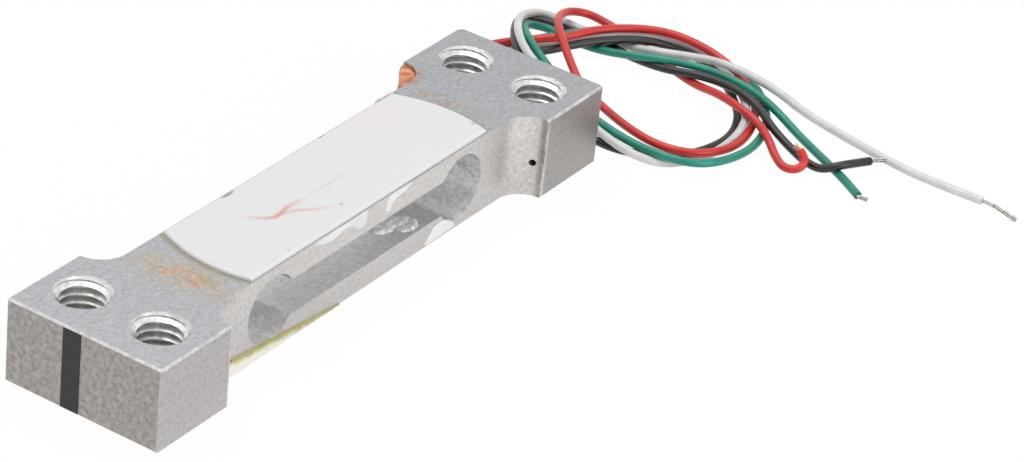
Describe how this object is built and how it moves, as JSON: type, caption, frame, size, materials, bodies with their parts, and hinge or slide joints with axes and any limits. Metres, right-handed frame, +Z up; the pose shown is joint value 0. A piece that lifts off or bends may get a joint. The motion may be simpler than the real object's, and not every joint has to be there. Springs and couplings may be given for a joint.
{
  "type": "single point load cell",
  "caption": "Aluminium bar load cell with a two-bore sensing window, silicone-coated strain gauges, tapped mounting holes and loose leads.",
  "frame": {"origin": "centre of the underside of the cell without its leads, on the surface that it stands on", "axes": "+X along the bar from the load end to the fixed end where the leads leave, +Y to the left, +Z up"},
  "size_m": [0.1127, 0.0684, 0.0108],
  "materials": {
    "machined_aluminium": "machined satin with bright edges",
    "white_silicone": "glossy white silicone",
    "clear_silicone": "milky silicone residue",
    "brown_adhesive": "clear orange-brown adhesive",
    "amber_adhesive": "thin yellow-green adhesive",
    "polyimide_film": "thin amber film with metal foil",
    "flexible_board": "thin terminal board",
    "solder": "bright solder",
    "enamelled_wire": "red enamelled copper wire",
    "resistor_ceramic": "small ceramic resistor",
    "black_tape": "thin black tape",
    "red_pvc": "red PVC insulation",
    "black_pvc": "black PVC insulation",
    "green_pvc": "green PVC insulation",
    "white_pvc": "white PVC insulation",
    "tinned_copper": "tinned copper strands"
  },
  "bodies": {
    "root": {"body": "machined_aluminium", "top_silicone_coat": "white_silicone", "bottom_silicone_coat": "white_silicone", "top_load_end_gauge": "polyimide_film", "top_fixed_end_gauge": "polyimide_film", "bottom_load_end_gauge": "polyimide_film", "bottom_fixed_end_gauge": "polyimide_film", "top_terminal_board": "flexible_board", "bottom_terminal_board": "flexible_board", "zero_balance_resistor": "resistor_ceramic", "top_solder_joints": "solder", "bottom_solder_joints": "solder", "top_jumper_wires": "enamelled_wire", "bottom_jumper_wires": "enamelled_wire", "side_bridge_wires": "enamelled_wire", "lead_jumper_wires": "enamelled_wire", "side_wire_sealant": "white_silicone", "lead_anchor_adhesive": "brown_adhesive", "lead_splices": "solder", "lower_edge_adhesive": "amber_adhesive", "slot_silicone_residue": "clear_silicone", "side_silicone_smears": "clear_silicone", "marker_tape": "black_tape", "lead_red": "red_pvc", "bare_strands_red": "tinned_copper", "lead_black": "black_pvc", "bare_strands_black": "tinned_copper", "lead_green": "green_pvc", "bare_strands_green": "tinned_copper", "lead_white": "white_pvc", "bare_strands_white": "tinned_copper"}
  },
  "joints": []
}
